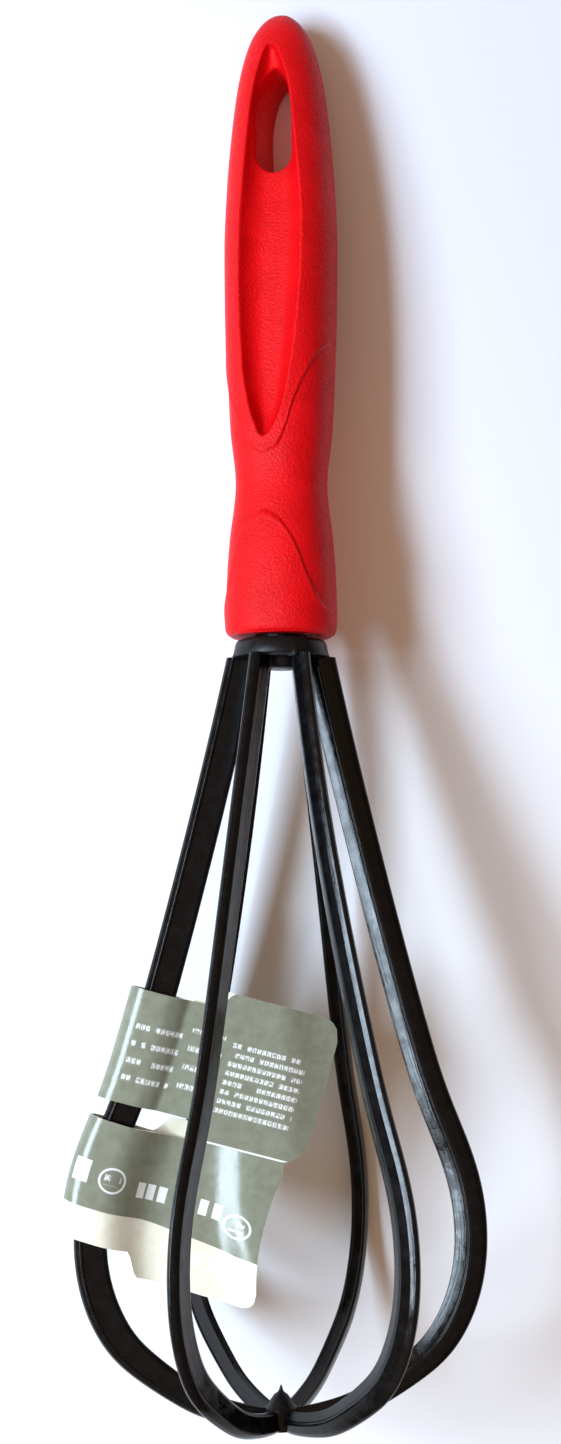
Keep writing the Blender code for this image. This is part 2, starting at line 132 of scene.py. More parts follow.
# ---- measures ------------------------------------------------------------------------------------
def interpolate(table, value):
    xs = [pair[0] for pair in table]
    ys = [pair[1] for pair in table]
    if value <= xs[0]:
        return ys[0]
    if value >= xs[-1]:
        return ys[-1]
    i = max(k for k in range(len(xs) - 1) if xs[k] <= value)

    def slope(k):
        if k == 0 or k == len(xs) - 1:
            return 0.0 if k == 0 else (ys[-1] - ys[-2]) / (xs[-1] - xs[-2])
        left = (ys[k] - ys[k - 1]) / (xs[k] - xs[k - 1])
        right = (ys[k + 1] - ys[k]) / (xs[k + 1] - xs[k])
        return 0.0 if left * right <= 0 else 2 * left * right / (left + right)

    span = xs[i + 1] - xs[i]
    t = (value - xs[i]) / span
    h00, h10 = 2 * t**3 - 3 * t**2 + 1, t**3 - 2 * t**2 + t
    h01, h11 = -2 * t**3 + 3 * t**2, t**3 - t**2
    return h00 * ys[i] + h10 * span * slope(i) + h01 * ys[i + 1] + h11 * span * slope(i + 1)


def smooth(value):
    value = min(max(value, 0.0), 1.0)
    return value * value * (3 - 2 * value)


def soft_min(a, b, k):
    h = max(k - abs(a - b), 0.0) / k
    return min(a, b) - h * h * k / 4


def radial(azimuth):
    angle = math.radians(azimuth)
    return Vector((math.sin(angle), 0.0, math.cos(angle)))


def across(azimuth):
    angle = math.radians(azimuth)
    return Vector((math.cos(angle), 0.0, -math.sin(angle)))


# ---- mesh helpers --------------------------------------------------------------------------------
def make(name, verts, faces, mat, uvs=None, sharp=40.0):
    """A mesh object in the row frame from whisk millimetres; uvs is one (u, v) per vertex, millimetres."""
    mesh = bpy.data.meshes.new(name)
    mesh.from_pydata([LAY @ (Vector(v) * MM) for v in verts], [], faces)
    mesh.update()
    obj = bpy.data.objects.new(name, mesh)
    bpy.context.scene.collection.objects.link(obj)
    for polygon in mesh.polygons:
        polygon.use_smooth = True
    mesh.set_sharp_from_angle(angle=math.radians(sharp))
    if uvs:
        layer = mesh.uv_layers.new(name="print")
        for loop in mesh.loops:
            layer.data[loop.index].uv = uvs[loop.vertex_index]
    mesh.materials.append(mat)
    return obj


def loft(rings):
    """Closed body through rings of equal length, running away from the viewer of a clockwise ring."""
    count = len(rings[0])
    verts = [point for ring in rings for point in ring]
    faces = []
    for i in range(len(rings) - 1):
        for j in range(count):
            k = (j + 1) % count
            faces.append((i * count + j, i * count + k, (i + 1) * count + k, (i + 1) * count + j))
    last = (len(rings) - 1) * count
    faces.append(tuple(reversed(range(count))))
    faces.append(tuple(range(last, last + count)))
    return verts, faces


def outward(obj):
    """Turns the faces so that the closed body's volume counts as positive."""
    mesh = obj.data
    volume = 0.0
    for polygon in mesh.polygons:
        corners = [mesh.vertices[i].co for i in polygon.vertices]
        for b, c in zip(corners[1:-1], corners[2:]):
            volume += corners[0].dot(b.cross(c))
    if volume < 0:
        mesh.flip_normals()
    return obj


def lathe(profile, steps=96, shape=None):
    """Turns (radius, station) pairs about the axis; shape(azimuth, radius, station) may change a point."""
    verts, faces, rows = [], [], []
    for radius, station in profile:
        if radius == 0:
            rows.append([len(verts)] * steps)
            verts.append(Vector((0, station, 0)))
            continue
        rows.append(list(range(len(verts), len(verts) + steps)))
        for k in range(steps):
            azimuth = 360 * k / steps
            r, s = shape(azimuth, radius, station) if shape else (radius, station)
            verts.append(radial(azimuth) * r + Vector((0, s, 0)))
    for low, high in zip(rows, rows[1:]):
        for j in range(steps):
            k = (j + 1) % steps
            faces.append(tuple(dict.fromkeys([low[j], low[k], high[k], high[j]])))
    return verts, faces


def fillet(points, radius, steps=3):
    """Rounds the corners of a closed outline of (a, b) points."""
    count = len(points)
    out = []
    for i in range(count):
        here = Vector(points[i])
        before, after = Vector(points[i - 1]) - here, Vector(points[(i + 1) % count]) - here
        turn = math.pi - before.angle(after)
        reach = min(radius * math.tan(turn / 2), before.length * 0.42, after.length * 0.42)
        a, b = here + before.normalized() * reach, here + after.normalized() * reach
        for k in range(steps):
            t = k / (steps - 1)
            out.append(tuple(a * (1 - t) ** 2 + here * (2 * t * (1 - t)) + b * t * t))
    return out


# ---- materials -----------------------------------------------------------------------------------
def srgb(r, g, b):
    return tuple((c / 255 / 12.92) if c <= 10 else ((c / 255 + 0.055) / 1.055) ** 2.4 for c in (r, g, b))


class Paint:
    """A node material and the few helpers that its nodes are made with."""

    def __init__(self, name, **sockets):
        self.mat = bpy.data.materials.new(name)
        self.mat.use_nodes = True
        self.tree = self.mat.node_tree
        self.shader = self.tree.nodes["Principled BSDF"]
        for key, value in sockets.items():
            self.shader.inputs[key.replace("_", " ")].default_value = value

    def node(self, kind, inputs=None, **props):
        made = self.tree.nodes.new(kind)
        for key, value in props.items():
            setattr(made, key, value)
        for key, value in (inputs or {}).items():
            if isinstance(value, bpy.types.NodeSocket):
                self.tree.links.new(value, made.inputs[key])
            else:
                made.inputs[key].default_value = value
        return made

    def coords(self, scale=(1000, 1000, 1000), source="Object"):
        """Surface coordinates in millimetres, times a stretch."""
        base = self.node("ShaderNodeTexCoord").outputs[source]
        return self.node("ShaderNodeMapping", {"Vector": base, "Scale": scale}).outputs[0]

    def noise(self, vector, scale, detail=3.0, rough=0.55, distortion=0.0):
        made = self.node("ShaderNodeTexNoise", {
            "Vector": vector, "Scale": scale, "Detail": detail, "Roughness": rough, "Distortion": distortion,
        })
        return made.outputs["Fac"]

    def math(self, operation, a, b=0.0, clamp=False):
        made = self.node("ShaderNodeMath", operation=operation, use_clamp=clamp)
        for socket, value in zip(made.inputs, (a, b)):
            if isinstance(value, bpy.types.NodeSocket):
                self.tree.links.new(value, socket)
            else:
                socket.default_value = value
        return made.outputs[0]

    def ramp(self, value, low, high, to_low=0.0, to_high=1.0):
        return self.node("ShaderNodeMapRange", {
            "Value": value, "From Min": low, "From Max": high, "To Min": to_low, "To Max": to_high,
        }, interpolation_type="SMOOTHSTEP").outputs[0]

    def mix(self, factor, a, b):
        made = self.node("ShaderNodeMix", data_type="RGBA")
        for key, value in ((0, factor), (6, a), (7, b)):
            if isinstance(value, bpy.types.NodeSocket):
                self.tree.links.new(value, made.inputs[key])
            else:
                made.inputs[key].default_value = (*value, 1.0) if isinstance(value, tuple) else value
        return made.outputs[2]

    def bump(self, height, distance, strength):
        inputs = {"Height": height, "Distance": distance, "Strength": strength}
        return self.node("ShaderNodeBump", inputs).outputs[0]

    def put(self, socket, value):
        self.tree.links.new(value, self.shader.inputs[socket])


def red_grip():
    """Spark-eroded moulded plastic: a fine even grain, faint clouds of tone and a few rubbed places."""
    p = Paint("red_grip", Specular_IOR_Level=0.13)
    mm = p.coords()
    grain = p.noise(mm, 3.0, 2.0, 0.6)
    cells = p.node("ShaderNodeTexVoronoi", {"Vector": mm, "Scale": 2.3}, feature="SMOOTH_F1")
    pits = cells.outputs["Distance"]
    clouds = p.noise(mm, 0.16, 3.0)
    rubbed = p.ramp(p.noise(mm, 0.09, 4.0, 0.65), 0.5, 0.68)
    tone = p.mix(p.ramp(clouds, 0.3, 0.72), srgb(211, 6, 13), srgb(227, 10, 20))
    tone = p.mix(p.ramp(grain, 0.36, 0.68, 0.0, 0.34), tone, srgb(160, 3, 9))
    p.put("Base Color", tone)
    rough = p.ramp(grain, 0.3, 0.7, 0.4, 0.52)
    p.put("Roughness", p.math("SUBTRACT", rough, p.math("MULTIPLY", rubbed, 0.06)))
    height = p.math("ADD", p.math("MULTIPLY", grain, 0.7), p.math("MULTIPLY", pits, 0.5))
    p.put("Normal", p.bump(height, 0.0002, 0.9))
    return p.mat


def nylon(name, flow=True, scuffs=0.25, roughness=(0.05, 0.22)):
    """Black glossy nylon, with flow lines along the piece and dull smears of handling."""
    p = Paint(name, Specular_IOR_Level=0.25)
    mm = p.coords()
    along = p.coords((0.07, 1.6, 1.0), "UV") if flow else mm
    lines = p.noise(along, 1.0, 3.0, 0.6)
    smear = p.noise(mm, 0.35, 4.0, 0.62, 0.4)
    specks = p.ramp(p.noise(mm, 2.6, 2.0, 0.7), 0.62, 0.72)
    tone = p.mix(p.ramp(smear, 0.35, 0.7), (0.0022, 0.0023, 0.0027), (0.0045, 0.0047, 0.0056))
    tone = p.mix(p.math("MULTIPLY", specks, scuffs), tone, (0.04, 0.042, 0.046))
    p.put("Base Color", tone)
    rough = p.ramp(smear, 0.32, 0.68, *roughness)
    p.put("Roughness", p.math("ADD", rough, p.math("MULTIPLY", lines, 0.07), clamp=True))
    height = p.math("ADD", p.math("MULTIPLY", lines, 0.7), p.math("MULTIPLY", smear, 0.6))
    p.put("Normal", p.bump(height, 0.00012, 0.35))
    return p.mat


def card_print(name, upper):
    """Varnished card, olive print on its outer side and plain cream inside, with greeked lines."""
    p = Paint(name, Specular_IOR_Level=0.36)
    mm = p.coords()
    uv = p.node("ShaderNodeSeparateXYZ", {"Vector": p.node("ShaderNodeTexCoord").outputs["UV"]})
    u, v = uv.outputs[0], uv.outputs[1]
    mottle = p.noise(mm, 0.5, 4.0, 0.6)
    fibre = p.noise(mm, 6.0, 2.0, 0.6)
    olive = p.mix(p.ramp(mottle, 0.3, 0.7), srgb(124, 128, 111), srgb(135, 139, 122))
    cream = p.mix(p.ramp(mottle, 0.3, 0.7), srgb(232, 229, 206), srgb(240, 238, 220))
    white = (0.86, 0.87, 0.84)

    def within(value, low, high, edge=0.05):
        rise = p.ramp(value, low - edge, low + edge)
        fall = p.ramp(value, high - edge, high + edge, 1.0, 0.0)
        return p.math("MULTIPLY", rise, fall)

    def bars(u_from, u_to, v_from, v_to, pitch, share, seed, size):
        """Rows of short bars in a block: lines of small print that nobody can read."""
        row = p.math("FLOOR", p.math("DIVIDE", v, pitch))
        inside = p.math("FRACT", p.math("DIVIDE", v, pitch))
        line = within(inside, 0.5 - share / 2, 0.5 + share / 2, 0.07)
        key = p.node("ShaderNodeCombineXYZ", {
            "X": p.math("FLOOR", p.math("DIVIDE", u, size)), "Y": row, "Z": seed,
        }).outputs[0]
        word = p.node("ShaderNodeTexWhiteNoise", {"Vector": key}, noise_dimensions="3D").outputs["Value"]
        shown = p.math("GREATER_THAN", word, 0.14)
        gap = within(p.math("FRACT", p.math("DIVIDE", u, size)), 0.08, 0.9, 0.08)
        block = p.math("MULTIPLY", within(u, u_from, u_to, 0.1), within(v, v_from, v_to, 0.1))
        strokes = p.ramp(p.noise(p.coords((2.6, 1.0, 1.0), "UV"), 1.6, 2.0), 0.38, 0.52, 0.1, 1.0)
        ink = p.math("MULTIPLY", p.math("MULTIPLY", line, shown), p.math("MULTIPLY", gap, block))
        return p.math("MULTIPLY", ink, strokes)

    def ring(u_at, v_at, wide, tall, width):
        du = p.math("DIVIDE", p.math("SUBTRACT", u, u_at), wide)
        dv = p.math("DIVIDE", p.math("SUBTRACT", v, v_at), tall)
        far = p.math("SQRT", p.math("ADD", p.math("MULTIPLY", du, du), p.math("MULTIPLY", dv, dv)))
        return within(far, 1.0 - width, 1.0, 0.04)

    marks = []
    if upper:
        marks.append(bars(4.5, 19.0, 5.2, 19.0, 1.7, 0.5, 3.0, 0.95))
        marks.append(bars(20.5, 27.0, 7.0, 19.0, 3.4, 0.26, 5.0, 0.95))
        marks.append(bars(28.5, 38.0, 6.2, 18.5, 3.1, 0.3, 8.0, 0.95))
    else:
        marks.append(ring(5.0, 14.6, 2.9, 2.2, 0.16))
        marks.append(bars(3.3, 6.7, 13.6, 15.4, 1.8, 0.6, 2.0, 1.7))
        marks.append(ring(31.6, 16.7, 2.7, 2.3, 0.16))
        marks.append(bars(30.0, 33.2, 15.8, 17.6, 1.8, 0.6, 2.0, 1.6))
        for start in (8.6, 11.4, 19.6, 22.0, 24.2):
            marks.append(p.math("MULTIPLY", within(u, start, start + 1.7), within(v, 14.6, 17.4)))
        marks.append(p.math("MULTIPLY", within(u, 36.2, 39.2), within(v, 15.2, 19.2)))
    ink = marks[0]
    for mark in marks[1:]:
        ink = p.math("MAXIMUM", ink, mark)
    tone = p.mix(p.math("MULTIPLY", ink, 0.92), olive, white)
    if not upper:
        edge = p.math("SUBTRACT", v, p.node("ShaderNodeMapRange", {
            "Value": u, "From Min": 4.0, "From Max": 24.0, "To Min": 9.3, "To Max": 10.9,
        }).outputs[0])
        tone = p.mix(p.ramp(edge, -0.08, 0.08), cream, tone)
    else:
        tone = p.mix(p.ramp(v, 0.25, 0.4), white, tone)
    tone = p.mix(p.math("GREATER_THAN", u, BACK_U - 50), tone, cream)
    tone = p.mix(p.math("GREATER_THAN", u, CUT_EDGE_U - 50), tone, (0.93, 0.93, 0.91))
    p.put("Base Color", tone)
    p.put("Roughness", p.ramp(mottle, 0.3, 0.7, 0.11, 0.2))
    height = p.math("ADD", p.math("MULTIPLY", fibre, 0.25), p.math("MULTIPLY", mottle, 0.6))
    p.put("Normal", p.bump(height, 0.0001, 0.35))
    return p.mat


def paper_floor():
    """White paper, with painted shade that makes it a little bluer and darker towards the far right corner.
    """
    p = Paint("floor_paper", Roughness=0.85, Specular_IOR_Level=0.2)
    mm = p.coords()
    place = p.node("ShaderNodeSeparateXYZ", {"Vector": mm})
    x, y = place.outputs[0], place.outputs[1]
    # painted shade: the paper turns bluer and darker towards the far right corner, where the light falls off
    corner = p.math("ADD", p.math("MULTIPLY", x, 0.75), p.math("MULTIPLY", y, 0.65))
    tone = p.mix(p.noise(mm, 0.012, 3.0), (0.86, 0.87, 0.9), (0.9, 0.9, 0.915))
    tone = p.mix(p.ramp(corner, -10.0, 120.0), tone, (0.77, 0.80, 0.88))
    p.put("Base Color", tone)
    p.put("Normal", p.bump(p.noise(mm, 1.5, 4.0), 0.00005, 0.25))
    return p.mat


RED = red_grip()
NYLON = nylon("black_nylon_tine")
NYLON_COLLAR = nylon("black_nylon_collar", flow=False, scuffs=0.6, roughness=(0.28, 0.42))


# ---- tines ---------------------------------------------------------------------------------------
def tine_path():
    """(distance from axis, station, slope) along one tine, from the tip to the collar."""
    step = TINE_LENGTH / TINE_STEPS
    reach, station, path = 0.0, TINE_TIP_LEVEL, []
    for i in range(TINE_STEPS + 1):
        slope = math.radians(interpolate(TINE_COURSE, i / TINE_STEPS))
        path.append((reach, station, slope))
        middle = math.radians(interpolate(TINE_COURSE, (i + 0.5) / TINE_STEPS))
        reach += math.cos(middle) * step
        station += math.sin(middle) * step
    return path


PATH = tine_path()


def tine_azimuth(nominal, lean, station):
    """Degrees round the axis: twisted by the collar at one end, by its own lean in the balloon."""
    share = smooth((BALLOON_TOP - station) / 97.0)
    return nominal + COLLAR_TWIST + (lean - COLLAR_TWIST) * share


def tine_centre(nominal, lean, station):
    """Middle of the tine's section at a station of its upper, straight part."""
    widest = max(range(len(PATH)), key=lambda i: PATH[i][0])
    i = min(range(widest - 30, len(PATH)), key=lambda k: abs(PATH[k][1] - station))
    low, high = (i, i + 1) if PATH[i][1] <= station or i == 0 else (i - 1, i)
    high = min(high, len(PATH) - 1)
    gap = PATH[high][1] - PATH[low][1]
    share = (station - PATH[low][1]) / gap if gap else 0.0
    reach = PATH[low][0] + (PATH[high][0] - PATH[low][0]) * share
    return radial(tine_azimuth(nominal, lean, station)) * reach + Vector((0, station, 0))


def build_tine(name, nominal, lean):
    """One tine from inside the boss to the collar; its UV map runs along it and round it."""
    outline = fillet([(r * TINE_DEPTH * TINE_SLIM, t * TINE_WIDTH) for r, t in SECTION], BLADE_FILLET)
    around = [0.0]
    for a, b in zip(outline, outline[1:]):
        around.append(around[-1] + (Vector(b) - Vector(a)).length)
    begin = next(i for i, point in enumerate(PATH) if point[0] > 1.2)
    end = max(i for i, point in enumerate(PATH) if point[1] <= BALLOON_TOP)
    rings, uvs = [], []
    for i in range(begin, end + 1):
        reach, station, slope = PATH[i]
        tilt = slope
        if i == end:
            tilt, station = math.radians(90), RING_FROM + 0.1
        azimuth = tine_azimuth(nominal, lean, station)
        out, side = radial(azimuth), across(azimuth)
        centre = out * reach + Vector((0, station, 0))
        away = out * math.sin(tilt) - Vector((0, math.cos(tilt), 0))
        depth = 1 - TINE_TAPER * (1 - smooth(i / (len(PATH) - 1) / TINE_TAPER_TO))
        rings.append([centre + away * (r * depth) + side * t for r, t in outline])
        uvs += [(i * TINE_LENGTH / TINE_STEPS, d) for d in around]
    verts, faces = loft(rings)
    return outward(make(name + "_blade", verts, faces, NYLON, uvs, 50))


for tine_name, tine_nominal, tine_lean in TINES:
    blade = build_tine(tine_name, tine_nominal, tine_lean)
    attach(blade, "whisk")
    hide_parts(tine_name)


# ---- collar and tip ------------------------------------------------------------------------------
def build_collar():
    """The ring below the handle's mouth, with the short core that the tines' ends are moulded round."""
    profile = [
        (0, RING_FROM - 2.1), (3.1, RING_FROM - 2.1), (3.5, RING_FROM - 1.9), (3.7, RING_FROM - 1.5),
        (3.7, RING_FROM - 0.1), (3.9, RING_FROM), (RING_RADIUS - 0.15, RING_FROM),
        (RING_RADIUS, RING_FROM + 0.12), (RING_RADIUS + 0.1, RING_FROM + 0.4),
        (RING_RADIUS, RING_FROM + 1.2), (RING_RADIUS - 0.2, RING_TO - 0.9),
        (RING_RADIUS - 0.45, RING_TO - 0.3), (RING_RADIUS - 0.7, RING_TO - 0.08),
        (RING_RADIUS - 1.0, RING_TO), (5.0, RING_TO), (0, RING_TO),
    ]

    def shape(azimuth, radius, station):
        """Slightly uneven moulding, with three nibs of flash on the lower rim."""
        if radius < 6:
            return radius, station
        angle = math.radians(azimuth)
        wave = 0.05 * noise.noise(Vector((math.sin(angle) * 3, math.cos(angle) * 3, station)))
        nib = 0.0
        for at in NIBS_AT:
            off = (azimuth - at + 180) % 360 - 180
            near = smooth((RING_FROM + 1.0 - station) / 0.8)
            nib += NIB_REACH * math.exp(-(off / NIB_WIDTH) ** 2) * near
        return radius - abs(wave) - 0.02 + 0.9 * nib, station - nib

    verts, faces = lathe(profile, 180, shape)
    return outward(make("collar_ring", verts, faces, NYLON_COLLAR, sharp=60))


def build_tip():
    """The boss where the tines meet, with the gate's spike on its inner side."""
    profile = [
        (0, -0.9), (1.2, -0.95), (BOSS_RADIUS - 0.4, -1.1), (BOSS_RADIUS - 0.1, -1.05),
        (BOSS_RADIUS, -0.85), (BOSS_RADIUS, 2.4), (BOSS_RADIUS - 0.1, 2.75), (BOSS_RADIUS - 0.3, 3.0),
        (2.2, 3.65), (1.75, 4.35), (1.3, 4.95), (0.8, 5.3), (0.48, 5.6), (0.33, 6.0), (0.2, SPIKE_TOP - 0.3),
        (0, SPIKE_TOP),
    ]
    verts, faces = lathe(profile, 96)
    return outward(make("tip_star", verts, faces, NYLON_COLLAR, sharp=50))


collar = build_collar()
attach(collar, "whisk")
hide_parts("collar")
tip = build_tip()
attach(tip, "whisk")
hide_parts("tip_boss")
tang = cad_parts["tang"]
tang.data.materials.clear()
tang.data.materials.append(NYLON_COLLAR)


# ---- handle --------------------------------------------------------------------------------------
def half_width(station):
    return interpolate(HANDLE_WIDTHS, station - MOUTH)


def waist_dent(station, angle):
    """How far the skin lies below the oval, negative on the raised line along the waist's edges."""
    turn = math.degrees(angle)
    low, high = interpolate(WAIST_LOW, turn), interpolate(WAIST_HIGH, turn)
    inside = smooth((station - low) / 0.8) * smooth((high - station) / 0.8)
    lip = math.exp(-((station - low + 0.35) / 0.45) ** 2) + math.exp(-((high - station + 0.35) / 0.45) ** 2)
    return (WAIST_STEP * inside - WAIST_LIP * lip) * smooth((118 - abs(turn)) / 45)


SCOOP_MIDDLES = [(station, middle) for station, middle, _ in SCOOP]
SCOOP_HALVES = [(station, half) for station, _, half in SCOOP]


def oval_level(x, wide):
    """Height of the plain oval at a sideways place."""
    share = 1 - min(abs(x) / wide, 0.995) ** HANDLE_ROUNDNESS
    return wide * HANDLE_THICKNESS * share ** (1 / HANDLE_ROUNDNESS)


def scoop_floor(x, station):
    """Level of the thumb scoop's floor, far above the handle outside the scoop."""
    if not SCOOP[0][0] < station < SCOOP[-1][0]:
        return 99.0
    middle, half = interpolate(SCOOP_MIDDLES, station), interpolate(SCOOP_HALVES, station)
    depth = SCOOP_DEPTH * math.tanh(half / SCOOP_ROOT)
    q = abs(x - middle) / max(half, 0.02)
    level = oval_level(x, half_width(station))
    if q >= 1:
        return level + 3 * depth * (q - 1)
    return level - depth * (1 - q**3)


def handle_point(station, angle):
    """(sideways, outwards) of the finished skin at an angle from the face's middle line."""
    half = half_width(station)
    power = 2 / HANDLE_ROUNDNESS
    s, c = math.sin(angle), math.cos(angle)
    x = math.copysign(abs(s) ** power, s) * half
    z = math.copysign(abs(c) ** power, c) * half * HANDLE_THICKNESS
    shrink = 1 - (waist_dent(station, angle) + SKIN_INSET) / math.hypot(x, z)
    seam = SEAM_HEIGHT * math.exp(-((abs(math.degrees(angle)) - 90) / 0.9) ** 2) * smooth((half - 5) / 2)
    shrink += seam / math.hypot(x, z)
    x, z = x * shrink, z * shrink
    if c > 0:
        z = soft_min(z, scoop_floor(x, station), SCOOP_EDGE)
    return x, z


def build_handle():
    """Socket, mouth and skin as one closed loft, then the slot cut through it."""
    face, side = radial(FACE_AZIMUTH), across(FACE_AZIMUTH)
    count = 256
    angles = []
    for k in range(count):
        t = 2 * math.pi * k / count - math.pi
        angles.append(t - 0.28 * math.sin(t))
    stations = [MOUTH + d for d in (0.0, 0.1, 0.25, 0.45, 0.7, 1.0)]
    end = MOUTH + HANDLE_LENGTH
    while stations[-1] < end - 6:
        stations.append(stations[-1] + 0.32)
    last = (5.8, 5.2, 4.6, 4.0, 3.4, 2.9, 2.4, 1.9, 1.4, 1.0, 0.6, 0.3, 0.1, 0.0)
    stations += [end - back for back in last]
    socket = (
        (0.5, MOUTH + SOCKET_DEPTH), (SOCKET_RADIUS, MOUTH + SOCKET_DEPTH), (SOCKET_RADIUS, MOUTH + 0.5),
        (SOCKET_RADIUS + 0.15, MOUTH + 0.15), (SOCKET_RADIUS + 0.5, MOUTH), (8.4, MOUTH),
    )
    rings = []
    for radius, station in socket:
        rings.append([side * math.sin(a) * radius + face * math.cos(a) * radius + Vector((0, station, 0))
                      for a in angles])
    for station in stations:
        ring = []
        for a in angles:
            x, z = handle_point(station, a)
            ring.append(side * x + face * z + Vector((0, station, 0)))
        rings.append(ring)
    verts, faces = loft(rings)
    handle = outward(make("grip", verts, faces, RED, sharp=180))
    cut_slot(handle, face, side)
    return handle


def cut_slot(handle, face, side):
    """Hanging slot right through the end, its rims rounded over onto the scoop and the back."""
    rings = []
    through = 99.0
    levels = ((0.9, through), (0.62, -0.15), (0.36, -0.02), (0.15, 0.18), (0.04, 0.45), (0.0, 0.9))
    for front, order in ((False, levels), (True, levels[::-1])):
        for offset, drop in order:
            ring = []
            for x, y in slot_outline(offset):
                level = skin_level(x, y, front)
                reach = level - (drop if front else -drop)
                if drop == through:
                    reach = 14 if front else -14
                ring.append(side * x + face * reach + Vector((0, y, 0)))
            rings.append(ring)
    verts, faces = loft(rings)
    cutter = outward(make("slot_cutter", verts, faces, RED))
    boolean = handle.modifiers.new("slot", "BOOLEAN")
    boolean.operation = "DIFFERENCE"
    boolean.solver = "EXACT"
    boolean.object = cutter
    with bpy.context.temp_override(object=handle, active_object=handle):
        bpy.ops.object.modifier_apply(modifier="slot")
    bpy.data.objects.remove(cutter)
    weld(handle.data)
    handle.data.set_sharp_from_angle(angle=math.radians(50))


def weld(mesh):
    """Merges the hair-thin slivers that the cut leaves along its edge."""
    work = bmesh.new()
    work.from_mesh(mesh)
    bmesh.ops.remove_doubles(work, verts=work.verts, dist=SLIVER * MM)
    bmesh.ops.dissolve_degenerate(work, dist=SLIVER * MM / 10, edges=work.edges)
    work.to_mesh(mesh)
    work.free()


def skin_level(x, station, front):
    """Height of the front or the back skin over a sideways place."""
    z = oval_level(x, half_width(station))
    return soft_min(z, scoop_floor(x, station), SCOOP_EDGE) if front else -z


def slot_outline(offset):
    """(sideways, station) round the hanging slot, widened by an offset."""
    radius = SLOT_WIDTH / 2 + offset
    centre = SLOT_FROM + SLOT_WIDTH / 2
    outline = []
    for k in range(37):
        angle = math.radians(180 + 5 * k)
        outline.append((radius * math.cos(angle), centre + radius * math.sin(angle)))
    reach = SLOT_TO + offset - SLOT_STRAIGHT_TO
    right = [(radius, centre + (SLOT_STRAIGHT_TO - centre) * k / 6) for k in range(1, 6)]
    for k in range(31):
        t = math.sin(math.radians(3 * k))
        right.append((radius * (1 - t * t) ** 0.6, SLOT_STRAIGHT_TO + reach * t))
    return outline + right + [(-x, y) for x, y in reversed(right[:-1])]


grip = build_handle()
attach(grip, "whisk")
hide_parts("handle_grip")


# ---- card tag ------------------------------------------------------------------------------------
def tag_section(reach, level, sag, neck, crease):
    """(outwards from the tine, height) along the folded card: front leaf, loop, back leaf."""
    points = []
    front, back = level + 0.35, level - 0.35
    steps = 40
    points += [(reach - (reach - neck) * k / steps, front) for k in range(steps)]
    for k in range(21):
        share = k / 20
        points.append((neck - (neck - 1.2) * share, front + (TAG_LOOP - front) * smooth(share)))
    for k in range(1, 28):
        angle = math.radians(90 + 180 * k / 28)
        points.append((-1.6 + TAG_LOOP_REACH * math.cos(angle), TAG_LOOP * math.sin(angle)))
    for k in range(21):
        share = 1 - k / 20
        points.append((neck - (neck - 1.2) * share, back + (-TAG_LOOP - back) * smooth(share)))
    points += [(neck + (reach - 6 - neck) * k / steps, back) for k in range(1, steps + 1)]
    bent = []
    for out, height in points:
        hollow = sag * (smooth((out - 2.5) / 11) - smooth((out - TAG_RISE_AT) / 11))
        valley = math.exp(-((out - neck) / 1.3) ** 2) if out < neck else 1 - smooth((out - neck) / 9)
        bent.append((out, height - hollow - crease * valley))
    return bent


def leaf_limits(outwards, reach, top, bottom, step, step_at, rise_at):
    """Top and bottom station of the leaf at a distance from the tine, with rounded outer corners."""
    low = bottom - step * smooth((outwards - step_at) / 1.2)
    high = top + TAG_RISE * smooth((outwards - rise_at) / 3.0)
    over = max(0.0, outwards - (reach - TAG_CORNER))
    inset = TAG_CORNER - math.sqrt(max(TAG_CORNER**2 - over**2, 0.0))
    return high - inset, low + inset


